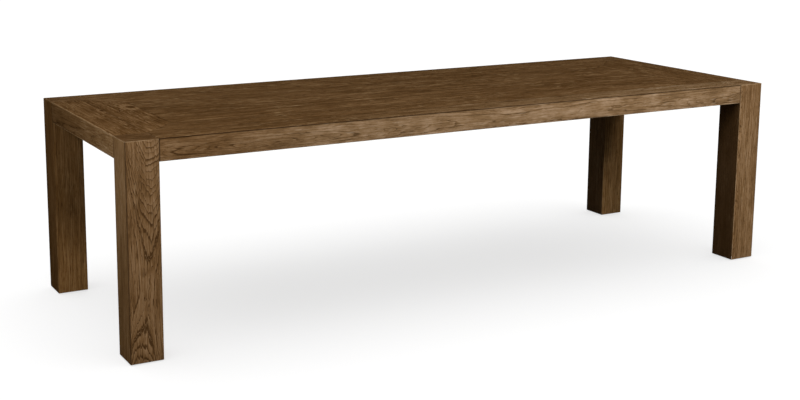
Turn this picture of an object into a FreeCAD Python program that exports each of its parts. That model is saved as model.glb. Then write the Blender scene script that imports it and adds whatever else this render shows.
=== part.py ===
import FreeCAD, Part
import os
import re

import Sketcher

# Parsons dining table.
#
# A skeleton of core timbers is covered with mitred oak boards: each leg is a core post inside four
# boards and a cap, and each edge of the table is a rail behind an apron and under an edge board.
# Draw bolts pull the rails to the legs. A panel let into the rails carries the boards of the top,
# and a levelling foot screws into each leg.
#
# Frame: origin at the middle of the table's footprint on the floor, +X along its length, +Y from
# the front to the back, +Z up. Millimetres.

Vector = FreeCAD.Vector
Rotation = FreeCAD.Rotation

SIZES = [
    ("table_length", 2794, "overall length, along X"),
    ("table_width", 991, "overall width, along Y"),
    ("table_height", 762, "floor to the face of the top"),
    ("leg_section", 118, "side of a square leg, and width of the edge boards"),
    ("edge_depth", 78, "height of the apron's plain face"),
    ("board_thickness", 20, "every oak board"),
    ("border_width", 137, "mitred boards between the edge boards and the planks"),
    ("arris", 1.5, "easing of the outer arrises"),
    ("seam_easing", 1.5, "easing of an apron's ends, for the groove beside a leg"),
    ("top_easing", 0.5, "easing of the top boards at their joints"),
    ("panel_thickness", 18, "panel under the boards of the top"),
    ("rebate_width", 15, "seat of the panel on each rail"),
    ("bearer_spacing", 900, "between the middles of the two cross bearers"),
    ("bearer_width", 60, "cross bearer, along X"),
    ("bearer_depth", 30, "cross bearer, along Z"),
    ("screw_radius", 2.5, "bearer screw"),
    ("screw_length", 35, "bearer screw, under its head"),
    ("screw_head_radius", 5, "bearer screw"),
    ("screw_head_height", 3, "bearer screw"),
    ("screw_recess", 8, "depth of the hole for a screw's head"),
    ("screw_margin", 60, "from a bearer's end to its first screw"),
    ("bolt_radius", 4, "draw bolt"),
    ("bolt_grip", 45, "draw bolt, length in the core post"),
    ("bolt_low", 20, "first draw bolt of a rail, above the rail's underside"),
    ("bolt_high", 32, "last draw bolt of a rail, above the rail's underside"),
    ("bolt_end", 6, "draw bolt, length past its nut"),
    ("bolt_play", 0.5, "round a bolt or a screw in its clearance hole"),
    ("pocket_wall", 35, "wood between a rail's end and its bolt pocket"),
    ("pocket_length", 45, "bolt pocket, along the rail"),
    ("pocket_width", 32, "bolt pocket, across the rail"),
    ("pocket_rise", 14, "bolt pocket, above the bolt's middle"),
    ("washer_radius", 10, "under a draw bolt's nut"),
    ("washer_thickness", 1.6, "under a draw bolt's nut"),
    ("nut_flats", 13, "across the flats of a nut and of a stem's collar"),
    ("nut_height", 6.5, "draw bolt's nut"),
    ("thread_play", 0.05, "round a thread in its hole"),
    ("floor_gap", 3, "under the leg boards, with the feet screwed in"),
    ("pad_radius", 19, "levelling foot's pad"),
    ("pad_height", 8, "levelling foot's pad"),
    ("socket_depth", 5, "hole in the pad that the stem turns in"),
    ("collar_height", 4, "levelling foot's six-sided collar"),
    ("stem_radius", 4, "levelling foot's threaded stem"),
    ("stem_length", 48, "levelling foot's threaded stem"),
    ("insert_radius", 5, "barrel of the threaded insert"),
    ("insert_length", 16, "barrel of the threaded insert"),
    ("flange_radius", 11, "flange of the threaded insert"),
    ("flange_thickness", 1.5, "flange of the threaded insert"),
]
SIZE_NAMES = {name for name, value, note in SIZES}

# How far a cutter runs out past the wood.
RUN = "1"

PLANKS = 4
SCREWS_PER_BEARER = 4

# Formulas of sizes that several pieces share.
CORE_SECTION = "(leg_section - 2 * board_thickness)"
RAIL_WIDTH = "(leg_section - board_thickness)"
RAIL_HEIGHT = "(edge_depth - board_thickness)"
RAIL_BOTTOM = "(table_height - edge_depth)"
BOARD_BOTTOM = "(table_height - board_thickness)"
PANEL_BOTTOM = "(table_height - board_thickness - panel_thickness)"
INNER_LENGTH = "(table_length - 2 * leg_section)"
INNER_WIDTH = "(table_width - 2 * leg_section)"
BOLT_INSET = "(board_thickness + (leg_section - board_thickness) / 2)"
CORE_BOTTOM = "(pad_height + collar_height + flange_thickness)"
LEG_MIDDLE = "(leg_section / 2)"
BOLT_HOLE = "(bolt_radius + bolt_play)"

# The table's four sides, each with its own frame: "along" runs from the side's first corner to its
# last one, "inset" runs in from its face, and the next side follows after a quarter turn.
SIDES = [
    ("front", "-table_length / 2 + ({along})", "-table_width / 2 + ({inset})"),
    ("right", "table_length / 2 - ({inset})", "-table_width / 2 + ({along})"),
    ("back", "table_length / 2 - ({along})", "table_width / 2 - ({inset})"),
    ("left", "-table_length / 2 + ({inset})", "table_width / 2 - ({along})"),
]
CORNERS = ["front_left", "front_right", "back_right", "back_left"]
SPANS = [INNER_LENGTH, INNER_WIDTH, INNER_LENGTH, INNER_WIDTH]

# How a piece lies in its side's frame, by where its own X, Y and Z point.
UPRIGHT_BOARD = Rotation(Vector(0, 0, 1), Vector(1, 0, 0), Vector(0, 1, 0), "XYZ")
TOP_BOARD = Rotation(Vector(-1, 0, 0), Vector(0, 1, 0), Vector(0, 0, -1), "XYZ")
APRON_BOARD = Rotation(Vector(1, 0, 0), Vector(0, 0, -1), Vector(0, 1, 0), "XYZ")
POST = Rotation(Vector(-1, 0, 0), Vector(0, -1, 0), Vector(0, 0, 1), "XYZ")
LEVEL = Rotation()
AXIS_ALONG = Rotation(Vector(0, 0, -1), Vector(0, 1, 0), Vector(1, 0, 0), "XYZ")
AXIS_BACK = Rotation(Vector(0, 0, 1), Vector(0, 1, 0), Vector(-1, 0, 0), "XYZ")

document = FreeCAD.newDocument("parsons_table")
pieces = []


# ---- The sheet of sizes, and how pieces read it ----------------------------------------------

def make_sheet():
    sheet = document.addObject("Spreadsheet::Sheet", "Sizes")
    for row, (name, value, note) in enumerate(SIZES, start=1):
        sheet.set(f"A{row}", name)
        sheet.set(f"B{row}", str(value))
        sheet.setAlias(f"B{row}", name)
        sheet.set(f"C{row}", note)
    document.recompute()


def sheet_expression(formula):
    """The formula with each size's name turned into its cell in the sheet."""
    def cell(word):
        return f"Sizes.{word[0]}" if word[0] in SIZE_NAMES else word[0]
    return re.sub(r"[a-z_]+", cell, formula)


def bind(thing, prop, formula):
    thing.setExpression(prop, sheet_expression(formula))


def place(thing, x, y, z, rotation=LEVEL, prop="Placement"):
    setattr(thing, prop, FreeCAD.Placement(Vector(), rotation))
    for axis, formula in (("x", x), ("y", y), ("z", z)):
        bind(thing, f"{prop}.Base.{axis}", formula)


def place_on_side(thing, side, along, inset, height, rotation=LEVEL, prop="Placement"):
    """Put a piece at a point of a side's frame, turned with that side."""
    name, x, y = SIDES[side]
    turned = Rotation(Vector(0, 0, 1), 90 * side).multiply(rotation)
    x = x.format(along=along, inset=inset)
    y = y.format(along=along, inset=inset)
    place(thing, x, y, height, turned, prop)


# ---- Sketches and features -------------------------------------------------------------------

def new_body(name):
    body = document.addObject("PartDesign::Body", name)
    body.Label = name
    return body


def add_sketch(body, plane_role, loops=(), circles=(), lift=None):
    """A sketch of closed loops, each a list of (x, y) formulas, and of (x, y, radius) circles."""
    sketch = body.newObject("Sketcher::SketchObject", f"{body.Name}_sketch")
    plane = [f for f in body.Origin.OriginFeatures if f.Role == plane_role][0]
    sketch.AttachmentSupport = (plane, [""])
    sketch.MapMode = "FlatFace"
    if lift:
        bind(sketch, "AttachmentOffset.Base.z", lift)

    def dimension(kind, formula, *where):
        index = sketch.addConstraint(Sketcher.Constraint(kind, *where, 1.0))
        sketch.renameConstraint(index, f"{kind.lower()}_{index}")
        bind(sketch, f"Constraints[{index}]", formula)

    # The lines start out anywhere: their corners' dimensions bring them to their places.
    for corners in loops:
        first = sketch.GeometryCount
        count = len(corners)
        for number in range(count):
            following = (number + 1) % count
            line = Part.LineSegment(Vector(number, number ** 2), Vector(following, following ** 2))
            sketch.addGeometry(line)
        for number, (x, y) in enumerate(corners):
            edge = first + number
            following = first + (number + 1) % count
            sketch.addConstraint(Sketcher.Constraint("Coincident", edge, 2, following, 1))
            dimension("DistanceX", x, -1, 1, edge, 1)
            dimension("DistanceY", y, -1, 1, edge, 1)
    for x, y, radius in circles:
        index = sketch.addGeometry(Part.Circle(Vector(), Vector(0, 0, 1), 1))
        dimension("Radius", radius, index)
        dimension("DistanceX", x, -1, 1, index, 3)
        dimension("DistanceY", y, -1, 1, index, 3)
    return sketch


def rectangle(x_low, y_low, x_high, y_high):
    return [(x_low, y_low), (x_high, y_low), (x_high, y_high), (x_low, y_high)]


def pad(body, sketch, length):
    feature = body.newObject("PartDesign::Pad", f"{body.Name}_pad")
    feature.Profile = sketch
    bind(feature, "Length", length)
    sketch.Visibility = False


def cut_through(body, sketch):
    """Cut the sketch right through the piece, both ways from its plane."""
    feature = body.newObject("PartDesign::Pocket", f"{body.Name}_cut")
    feature.Profile = sketch
    feature.Type = "ThroughAll"
    feature.Midplane = True
    sketch.Visibility = False


def cut_depth(body, sketch, depth, along_normal):
    """Cut the sketch to a depth, along its plane's normal or against it."""
    feature = body.newObject("PartDesign::Pocket", f"{body.Name}_cut")
    feature.Profile = sketch
    bind(feature, "Length", depth)
    feature.Reversed = along_normal
    sketch.Visibility = False


def revolve(body, corners):
    """Turn a profile of (radius, height) corners about the piece's upright axis."""
    sketch = add_sketch(body, "XZ_Plane", loops=[corners])
    feature = body.newObject("PartDesign::Revolution", f"{body.Name}_turned")
    feature.Profile = sketch
    feature.ReferenceAxis = (sketch, ["V_Axis"])
    feature.Angle = 360
    sketch.Visibility = False


def hexagon(flats):
    """Corners of a six-sided outline of the given width across its flats."""
    corner = f"{flats} / sqrt(3)"
    return [
        (corner, "0"), (f"{corner} / 2", f"{flats} / 2"), (f"-{corner} / 2", f"{flats} / 2"),
        (f"-{corner}", "0"), (f"-{corner} / 2", f"-{flats} / 2"), (f"{corner} / 2", f"-{flats} / 2"),
    ]


# ---- Oak boards ------------------------------------------------------------------------------
# A board's own frame: X along the grain, Y across it, Z in from its outer face. Each edge and each
# end is either mitred or square, and the arris on the outer face is eased.

def waste(cut, easing, far_size=None):
    """Section of the wood cut off an edge or an end. The far one is given the board's size."""
    if cut == "mitre":
        corners = [
            (f"{easing} + {RUN}", f"-{RUN}"),
            (f"{easing} / 2", f"{easing} / 2"),
            (f"board_thickness + {RUN}", f"board_thickness + {RUN}"),
            (f"-{RUN}", f"board_thickness + {RUN}"),
            (f"-{RUN}", f"-{RUN}"),
        ]
    else:
        corners = [(f"{easing} + {RUN}", f"-{RUN}"), (f"-{RUN}", f"{easing} + {RUN}"), (f"-{RUN}", f"-{RUN}")]
    if far_size:
        corners = [(f"{far_size} - ({across})", depth) for across, depth in corners]
    return corners


def make_board(name, length, width, edges, ends, holes=()):
    """An oak board. edges and ends each give (cut, easing) for the near and the far one."""
    body = new_body(name)
    pad(body, add_sketch(body, "XY_Plane", loops=[rectangle("0", "0", length, width)]), "board_thickness")
    cut_through(body, add_sketch(body, "YZ_Plane", loops=[waste(*edges[0]), waste(*edges[1], width)]))
    cut_through(body, add_sketch(body, "XZ_Plane", loops=[waste(*ends[0]), waste(*ends[1], length)]))
    if holes:
        cut_through(body, add_sketch(body, "XY_Plane", circles=holes))
    pieces.append(body)
    return body


MITRED = ("mitre", "arris")
EASED = ("square", "arris")
AT_LEG = ("square", "seam_easing")
AT_BOARD = ("square", "top_easing")


def make_border_board(name, length):
    """A board of the mitred border: 45 degree ends in plan, and its upper arrises eased."""
    body = new_body(name)
    outline = [("0", "0"), (length, "0"), (f"{length} - border_width", "border_width"),
               ("border_width", "border_width")]
    pad(body, add_sketch(body, "XY_Plane", loops=[outline]), "board_thickness")
    document.recompute()
    base = body.Tip
    upper = [f"Edge{number}" for number, edge in enumerate(base.Shape.Edges, start=1)
             if abs(edge.BoundBox.ZMax) < 1e-6]
    easing = body.newObject("PartDesign::Chamfer", f"{name}_easing")
    easing.Base = (base, upper)
    bind(easing, "Size", "top_easing")
    pieces.append(body)
    return body


# ---- Legs ------------------------------------------------------------------------------------
# Every leg is the same part, a quarter turn on from the last. Two of its boards face the ends of
# rails, and the draw bolts pass through those.

def make_leg(corner):
    name = f"{CORNERS[corner]}_leg"
    height = "(table_height - floor_gap)"
    faces = [("0", "0"), ("leg_section", "0"), ("leg_section", "leg_section"), ("0", "leg_section")]
    bolt_holes = {
        1: [(f"{RAIL_BOTTOM} + bolt_low - floor_gap", BOLT_INSET, BOLT_HOLE)],
        2: [(f"{RAIL_BOTTOM} + bolt_high - floor_gap", f"leg_section - {BOLT_INSET}", BOLT_HOLE)],
    }
    for face, (along, inset) in enumerate(faces):
        facing = SIDES[(corner + face) % 4][0]
        board = make_board(f"{name}_board_{facing}", height, "leg_section", (MITRED, MITRED),
                           (EASED, MITRED), bolt_holes.get(face, ()))
        turned = Rotation(Vector(0, 0, 1), 90 * face).multiply(UPRIGHT_BOARD)
        place_on_side(board, corner, along, inset, "floor_gap", turned)

    cap = make_board(f"{name}_cap", "leg_section", "leg_section", (MITRED, MITRED), (MITRED, MITRED))
    place_on_side(cap, corner, "leg_section", "0", "table_height", TOP_BOARD)

    core = make_leg_core(f"{name}_core")
    inner_corner = "leg_section - board_thickness"
    place_on_side(core, corner, inner_corner, inner_corner, CORE_BOTTOM, POST)


def make_leg_core(name):
    """Post glued up inside the boards, bored for two draw bolts and for the levelling foot."""
    body = new_body(name)
    section = rectangle("0", "0", CORE_SECTION, CORE_SECTION)
    pad(body, add_sketch(body, "XY_Plane", loops=[section]), f"{BOARD_BOTTOM} - {CORE_BOTTOM}")
    middle = f"{CORE_SECTION} / 2"
    foot_bore = (middle, middle, "insert_radius + thread_play")
    stem_top = "pad_height - socket_depth + stem_length"
    foot_depth = f"max(insert_length; {stem_top} - {CORE_BOTTOM}) + insert_radius"
    cut_depth(body, add_sketch(body, "XY_Plane", circles=[foot_bore]), foot_depth, True)
    across = f"leg_section - board_thickness - {BOLT_INSET}"
    thread = "bolt_radius + thread_play"
    low = (across, f"{RAIL_BOTTOM} + bolt_low - {CORE_BOTTOM}", thread)
    high = (across, f"{RAIL_BOTTOM} + bolt_high - {CORE_BOTTOM}", thread)
    cut_depth(body, add_sketch(body, "YZ_Plane", circles=[low]), "bolt_grip", True)
    cut_depth(body, add_sketch(body, "XZ_Plane", circles=[high]), "bolt_grip", False)
    pieces.append(body)
    return body


# ---- Edges of the table ----------------------------------------------------------------------
# On each side, between two legs: a rail, the apron on its face and the edge board on its top.

def make_edge(side):
    name = SIDES[side][0]
    span = SPANS[side]

    apron = make_board(f"{name}_apron", span, "edge_depth", (MITRED, EASED), (AT_LEG, AT_LEG))
    place_on_side(apron, side, "leg_section", "0", "table_height", APRON_BOARD)

    edge_board = make_board(f"{name}_edge_board", span, "leg_section", (MITRED, AT_BOARD),
                            (AT_BOARD, AT_BOARD))
    place_on_side(edge_board, side, f"leg_section + {span}", "0", "table_height", TOP_BOARD)

    rail = make_rail(f"{name}_rail", span)
    place_on_side(rail, side, "leg_section", "board_thickness", RAIL_BOTTOM)

    border = make_border_board(f"{name}_border_board", span)
    place_on_side(border, side, f"leg_section + {span}", "leg_section", "table_height", TOP_BOARD)


def make_rail(name, span):
    """Rail rebated for the panel, with a bolt hole and a pocket for its nut at each end."""
    body = new_body(name)
    pad(body, add_sketch(body, "XY_Plane", loops=[rectangle("0", "0", span, RAIL_WIDTH)]), RAIL_HEIGHT)
    rebate = rectangle(f"{RAIL_WIDTH} - rebate_width", f"{RAIL_HEIGHT} - panel_thickness",
                       f"{RAIL_WIDTH} + {RUN}", f"{RAIL_HEIGHT} + {RUN}")
    cut_through(body, add_sketch(body, "YZ_Plane", loops=[rebate]))
    across = f"({BOLT_INSET} - board_thickness)"
    near, far = f"{across} - pocket_width / 2", f"{across} + pocket_width / 2"
    first = rectangle("pocket_wall", near, "pocket_wall + pocket_length", far)
    last = rectangle(f"{span} - pocket_wall - pocket_length", near, f"{span} - pocket_wall", far)
    cut_depth(body, add_sketch(body, "XY_Plane", loops=[first]), "bolt_low + pocket_rise", True)
    cut_depth(body, add_sketch(body, "XY_Plane", loops=[last]), "bolt_high + pocket_rise", True)
    into_pocket = f"pocket_wall + {RUN}"
    low = add_sketch(body, "YZ_Plane", circles=[(across, "bolt_low", BOLT_HOLE)])
    cut_depth(body, low, into_pocket, True)
    high = add_sketch(body, "YZ_Plane", circles=[(across, "bolt_high", BOLT_HOLE)], lift=span)
    cut_depth(body, high, into_pocket, False)
    pieces.append(body)
    return body


# ---- Field of the top ------------------------------------------------------------------------

def make_panel():
    """Panel in the rails' rebates, notched round the legs and drilled for the bearer screws."""
    body = new_body("top_panel")
    outer_x = f"{INNER_LENGTH} / 2 + rebate_width"
    outer_y = f"{INNER_WIDTH} / 2 + rebate_width"
    notch_x = f"{INNER_LENGTH} / 2"
    notch_y = f"{INNER_WIDTH} / 2"
    quarter = [(outer_x, notch_y), (notch_x, notch_y), (notch_x, outer_y)]
    outline = list(quarter)
    outline += [(f"-({x})", y) for x, y in reversed(quarter)]
    outline += [(f"-({x})", f"-({y})") for x, y in quarter]
    outline += [(x, f"-({y})") for x, y in reversed(quarter)]
    pad(body, add_sketch(body, "XY_Plane", loops=[outline]), "panel_thickness")
    pilots = [(x, y, "screw_radius + thread_play") for x, y in bearer_screw_places()]
    pilot_depth = f"screw_length - bearer_depth + screw_recess + {RUN}"
    cut_depth(body, add_sketch(body, "XY_Plane", circles=pilots), pilot_depth, True)
    place(body, "0", "0", PANEL_BOTTOM)
    pieces.append(body)


def make_planks():
    """Planks of the field, side by side inside the border."""
    length = f"({INNER_LENGTH} - 2 * border_width)"
    field_width = f"({INNER_WIDTH} - 2 * border_width)"
    width = f"({field_width} / {PLANKS})"
    for number in range(PLANKS):
        plank = make_board(f"field_plank_{number + 1}", length, width, (AT_BOARD, AT_BOARD),
                           (AT_BOARD, AT_BOARD))
        place(plank, f"{length} / 2", f"-{field_width} / 2 + {number} * {width}", "table_height", TOP_BOARD)


def bearer_screw_rows():
    """Distances of a bearer's screws from its middle."""
    reach = f"({INNER_WIDTH} / 2 - screw_margin)"
    gaps = SCREWS_PER_BEARER - 1
    return [f"{reach} * {2 * number - gaps} / {gaps}" for number in range(SCREWS_PER_BEARER)]


def bearer_screw_places():
    return [(f"{half} * bearer_spacing / 2", row) for half in (-1, 1) for row in bearer_screw_rows()]


def make_bearers():
    """Cross bearers between the long rails, screwed up into the panel."""
    for half, name in ((-1, "left_bearer"), (1, "right_bearer")):
        body = new_body(name)
        section = rectangle("0", "0", "bearer_width", INNER_WIDTH)
        pad(body, add_sketch(body, "XY_Plane", loops=[section]), "bearer_depth")
        middles = [("bearer_width / 2", f"{INNER_WIDTH} / 2 + {row}") for row in bearer_screw_rows()]
        shanks = [(x, y, "screw_radius + bolt_play") for x, y in middles]
        recesses = [(x, y, "screw_head_radius + bolt_play") for x, y in middles]
        cut_through(body, add_sketch(body, "XY_Plane", circles=shanks))
        cut_depth(body, add_sketch(body, "XY_Plane", circles=recesses), "screw_recess", True)
        place(body, f"{half} * bearer_spacing / 2 - bearer_width / 2", f"-{INNER_WIDTH} / 2",
              f"{PANEL_BOTTOM} - bearer_depth")
        pieces.append(body)


# ---- Fastenings ------------------------------------------------------------------------------
# Each kind is drawn once, along its own Z, and a group holds one copy for each place.

def make_group(name, pattern):
    """An empty group of copies of a pattern piece. Copies are added with add_copy."""
    group = document.addObject("Part::Compound", name)
    group.Label = name
    pieces.append(group)
    return {"group": group, "pattern": pattern, "copies": []}


def add_copy(group):
    number = len(group["copies"]) + 1
    copy = document.addObject("App::Link", f"{group['group'].Name}_{number}")
    copy.LinkedObject = group["pattern"]
    group["copies"].append(copy)
    group["group"].Links = group["copies"]
    return copy


def make_round_pattern(name, corners):
    body = new_body(name)
    revolve(body, corners)
    return body


def make_draw_bolts():
    """Bolt, washer and nut at both ends of each rail: threaded into the post, tightened in the pocket."""
    bolt_length = "bolt_grip + board_thickness + pocket_wall + washer_thickness + nut_height + bolt_end"
    bolt = make_round_pattern("draw_bolt_pattern", rectangle("0", "0", "bolt_radius", bolt_length))
    washer = make_round_pattern("washer_pattern", rectangle(
        "bolt_radius + thread_play", "0", "washer_radius", "washer_thickness"))
    nut = new_body("nut_pattern")
    hole = [("0", "0", "bolt_radius + thread_play")]
    pad(nut, add_sketch(nut, "XY_Plane", loops=[hexagon("nut_flats")], circles=hole), "nut_height")

    wall_face = "leg_section + pocket_wall"
    stack = [
        (make_group("draw_bolts", bolt), "leg_section - board_thickness - bolt_grip"),
        (make_group("draw_bolt_washers", washer), wall_face),
        (make_group("draw_bolt_nuts", nut), f"{wall_face} + washer_thickness"),
    ]
    for side in range(4):
        whole_side = f"({SPANS[side]} + 2 * leg_section)"
        for group, along in stack:
            place_on_side(add_copy(group), side, along, BOLT_INSET, f"{RAIL_BOTTOM} + bolt_low",
                          AXIS_ALONG, "LinkPlacement")
            place_on_side(add_copy(group), side, f"{whole_side} - ({along})", BOLT_INSET,
                          f"{RAIL_BOTTOM} + bolt_high", AXIS_BACK, "LinkPlacement")


def make_bearer_screws():
    corners = [
        ("0", "-screw_head_height"), ("screw_head_radius", "-screw_head_height"),
        ("screw_head_radius", "0"), ("screw_radius", "0"),
        ("screw_radius", "screw_length - screw_radius"), ("0", "screw_length"),
    ]
    screws = make_group("bearer_screws", make_round_pattern("bearer_screw_pattern", corners))
    for x, y in bearer_screw_places():
        place(add_copy(screws), x, y, f"{PANEL_BOTTOM} - bearer_depth + screw_recess", LEVEL, "LinkPlacement")


# ---- Levelling feet --------------------------------------------------------------------------
# A pad stands on the floor, and a stem turns in it. The stem's collar takes a spanner, and its
# thread runs in an insert in the leg's core. At rest the foot is screwed in as far as it goes.

def make_inserts():
    bore = "stem_radius + thread_play"
    corners = [
        (bore, "0"), ("flange_radius", "0"), ("flange_radius", "flange_thickness"),
        ("insert_radius", "flange_thickness"), ("insert_radius", "flange_thickness + insert_length"),
        (bore, "flange_thickness + insert_length"),
    ]
    inserts = make_group("foot_inserts", make_round_pattern("foot_insert_pattern", corners))
    for corner in range(4):
        place_on_side(add_copy(inserts), corner, LEG_MIDDLE, LEG_MIDDLE, "pad_height + collar_height",
                      LEVEL, "LinkPlacement")


def make_foot(corner):
    pad_name = f"{CORNERS[corner]}_foot_pad"
    foot_pad = new_body(pad_name)
    socket, floor = "stem_radius + thread_play", "pad_height - socket_depth"
    revolve(foot_pad, [
        ("0", "0"), ("pad_radius - arris", "0"), ("pad_radius", "arris"),
        ("pad_radius", "pad_height - arris"), ("pad_radius - arris", "pad_height"),
        (socket, "pad_height"), (socket, floor), ("0", floor),
    ])
    place_on_side(foot_pad, corner, LEG_MIDDLE, LEG_MIDDLE, "0")
    pieces.append(foot_pad)

    stem = new_body(f"{CORNERS[corner]}_foot_stem")
    pad(stem, add_sketch(stem, "XY_Plane", circles=[("0", "0", "stem_radius")]), "stem_length")
    collar = add_sketch(stem, "XY_Plane", loops=[hexagon("nut_flats")], lift="socket_depth")
    pad(stem, collar, "collar_height")
    place_on_side(stem, corner, LEG_MIDDLE, LEG_MIDDLE, floor)
    pieces.append(stem)


# ---- Build, check and write ------------------------------------------------------------------

def check(thing):
    if "Invalid" in thing.State or "Error" in thing.State:
        raise RuntimeError(f"{thing.Label} failed: {thing.State}")


def check_piece(piece):
    if piece.Shape.isNull() or not piece.Shape.isValid():
        raise RuntimeError(f"{piece.Label} has no valid shape")


make_sheet()
for corner in range(4):
    make_leg(corner)
for side in range(4):
    make_edge(side)
make_planks()
make_panel()
make_bearers()
make_draw_bolts()
make_bearer_screws()
make_inserts()
for corner in range(4):
    make_foot(corner)
document.recompute()

for thing in document.Objects:
    check(thing)
for piece in pieces:
    check_piece(piece)

os.makedirs("parts", exist_ok=True)
for piece in pieces:
    piece.Shape.exportStep(f"parts/{piece.Label}.step")
print(f"{len(pieces)} pieces written")
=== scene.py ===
import math
import random

import bpy
from mathutils import Matrix, Vector


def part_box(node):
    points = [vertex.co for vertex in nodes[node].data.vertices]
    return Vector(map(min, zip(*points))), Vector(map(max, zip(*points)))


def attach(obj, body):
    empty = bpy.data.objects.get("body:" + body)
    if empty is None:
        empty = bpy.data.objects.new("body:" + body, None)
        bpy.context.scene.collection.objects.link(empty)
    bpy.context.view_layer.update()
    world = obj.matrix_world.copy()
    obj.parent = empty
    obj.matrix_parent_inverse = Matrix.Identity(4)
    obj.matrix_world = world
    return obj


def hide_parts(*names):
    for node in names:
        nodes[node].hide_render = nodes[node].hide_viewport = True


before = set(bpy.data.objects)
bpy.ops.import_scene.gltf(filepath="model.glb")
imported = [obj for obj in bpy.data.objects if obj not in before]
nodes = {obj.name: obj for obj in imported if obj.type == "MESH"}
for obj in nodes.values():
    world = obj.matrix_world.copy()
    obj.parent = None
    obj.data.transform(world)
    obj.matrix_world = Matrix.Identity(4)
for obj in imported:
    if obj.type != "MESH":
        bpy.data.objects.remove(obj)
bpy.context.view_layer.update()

# ---- Leg cores ---------------------------------------------------------------------------------
# Each leg is glued up round a square post, laminated from three staves of plain sawn timber.
# Its lower end is bored for the levelling foot and its sides are drilled for the draw bolts.

CORNERS = ("front_left", "front_right", "back_right", "back_left")
UP = Vector((0, 0, 1))
ALONG_X = Vector((1, 0, 0))
ALONG_Y = Vector((0, 1, 0))
LEG_CORE_SEED = 2.0
STAVE_WIDTH = 0.026
CORE_PALE = (0.235, 0.158, 0.090)
CORE_DARK = (0.120, 0.075, 0.040)
CORE_RELIEF = (0.35, 0.0004)
CORE_GLOSS = 0.15
GLUE_LINE = (0.045, 0.026, 0.013)
GLUE_LIMITS = (0.485, 0.497)

# Patterns are sized in waves a metre: along, across and into the board.
STREAKS = (9, 520, 520)
BANDS = (1.6, 55, 55)
PORES = (85, 1500, 1500)
PORE_LIMIT = 0.78
PORE_GAIN = 0.35
PORE_EDGE = 0.06

# One more on the seed moves a pattern this many metres in the same three directions.
SEED_STEP = (3.7, 1.9, 2.3)


def add_node(tree, kind, inputs=None, **settings):
    """Add a shader node. An input that is a socket is linked, and any other is the socket's value."""
    node = tree.nodes.new(kind)
    for name, value in settings.items():
        setattr(node, name, value)
    for name, value in (inputs or {}).items():
        if isinstance(value, bpy.types.NodeSocket):
            tree.links.new(value, node.inputs[name])
        else:
            node.inputs[name].default_value = value
    return node


def calc(tree, operation, *terms, clamp=False):
    node = add_node(tree, "ShaderNodeMath", dict(enumerate(terms)), operation=operation, use_clamp=clamp)
    return node.outputs[0]


def smooth_step(tree, value, low, high):
    """0 where the value is at low, 1 where it is at high, and an even rise between them."""
    inputs = {"Value": value, "From Min": low, "From Max": high}
    node = add_node(tree, "ShaderNodeMapRange", inputs, interpolation_type="SMOOTHSTEP")
    return node.outputs[0]


def noise(tree, vector, waves, detail=2.0, roughness=0.5, output=0):
    stretched = add_node(tree, "ShaderNodeMapping", {"Vector": vector, "Scale": waves}).outputs[0]
    inputs = {"Vector": stretched, "Scale": 1.0, "Detail": detail, "Roughness": roughness}
    return add_node(tree, "ShaderNodeTexNoise", inputs).outputs[output]


def chance(tree, number):
    """A value from 0 to 1, drawn for each number."""
    return add_node(tree, "ShaderNodeTexWhiteNoise", {"W": number}, noise_dimensions="1D").outputs[0]


def mix_colours(tree, share, first, second):
    node = add_node(tree, "ShaderNodeMix", data_type="RGBA", clamp_factor=True)
    for socket, value in ((node.inputs[0], share), (node.inputs[6], first), (node.inputs[7], second)):
        if isinstance(value, bpy.types.NodeSocket):
            tree.links.new(value, socket)
        else:
            socket.default_value = (*value, 1.0) if isinstance(value, tuple) else value
    return node.outputs[2]


def new_group(name, inputs, outputs):
    """An empty shader group. Inputs are (name, kind, value), and outputs are (name, kind)."""
    tree = bpy.data.node_groups.new(name, "ShaderNodeTree")
    for label, kind, value in inputs:
        socket = tree.interface.new_socket(label, in_out="INPUT", socket_type=f"NodeSocket{kind}")
        if value is not None:
            socket.default_value = value
    for label, kind in outputs:
        tree.interface.new_socket(label, in_out="OUTPUT", socket_type=f"NodeSocket{kind}")
    return tree, tree.nodes.new("NodeGroupInput").outputs, tree.nodes.new("NodeGroupOutput").inputs


def moved_on(tree, vector, seed):
    """Another part of the same pattern for each seed."""
    step = add_node(tree, "ShaderNodeVectorMath", {0: SEED_STEP, 3: seed}, operation="SCALE").outputs[0]
    return add_node(tree, "ShaderNodeVectorMath", {0: vector, 1: step}).outputs[0]


def make_fibre_group():
    """The fibre of any sawn timber: fine streaks along it, broad bands of tone, and its open pores."""
    tree, given, result = new_group(
        "timber_fibre",
        [("Vector", "Vector", None), ("Seed", "Float", 0.0), ("Pore Share", "Float", 0.35)],
        [("Streaks", "Float"), ("Bands", "Float"), ("Pores", "Float")])
    vector = moved_on(tree, given["Vector"], given["Seed"])
    streaks = noise(tree, vector, STREAKS, detail=4.0, roughness=0.62)
    bands = noise(tree, vector, BANDS, detail=3.0, roughness=0.55)
    cells = noise(tree, vector, PORES, detail=1.0)
    lowest = calc(tree, "SUBTRACT", PORE_LIMIT, calc(tree, "MULTIPLY", given["Pore Share"], PORE_GAIN))
    pores = smooth_step(tree, cells, lowest, calc(tree, "ADD", lowest, PORE_EDGE))
    for label, socket in (("Streaks", streaks), ("Bands", bands), ("Pores", pores)):
        tree.links.new(socket, result[label])
    return tree


fibre_group = make_fibre_group()


def fibre_marks(tree, vector, seed, pore_share):
    inputs = {"Vector": vector, "Seed": seed, "Pore Share": pore_share}
    return add_node(tree, "ShaderNodeGroup", inputs, node_tree=fibre_group).outputs


def middle_of(node):
    low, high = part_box(node)
    return (low + high) / 2


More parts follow.
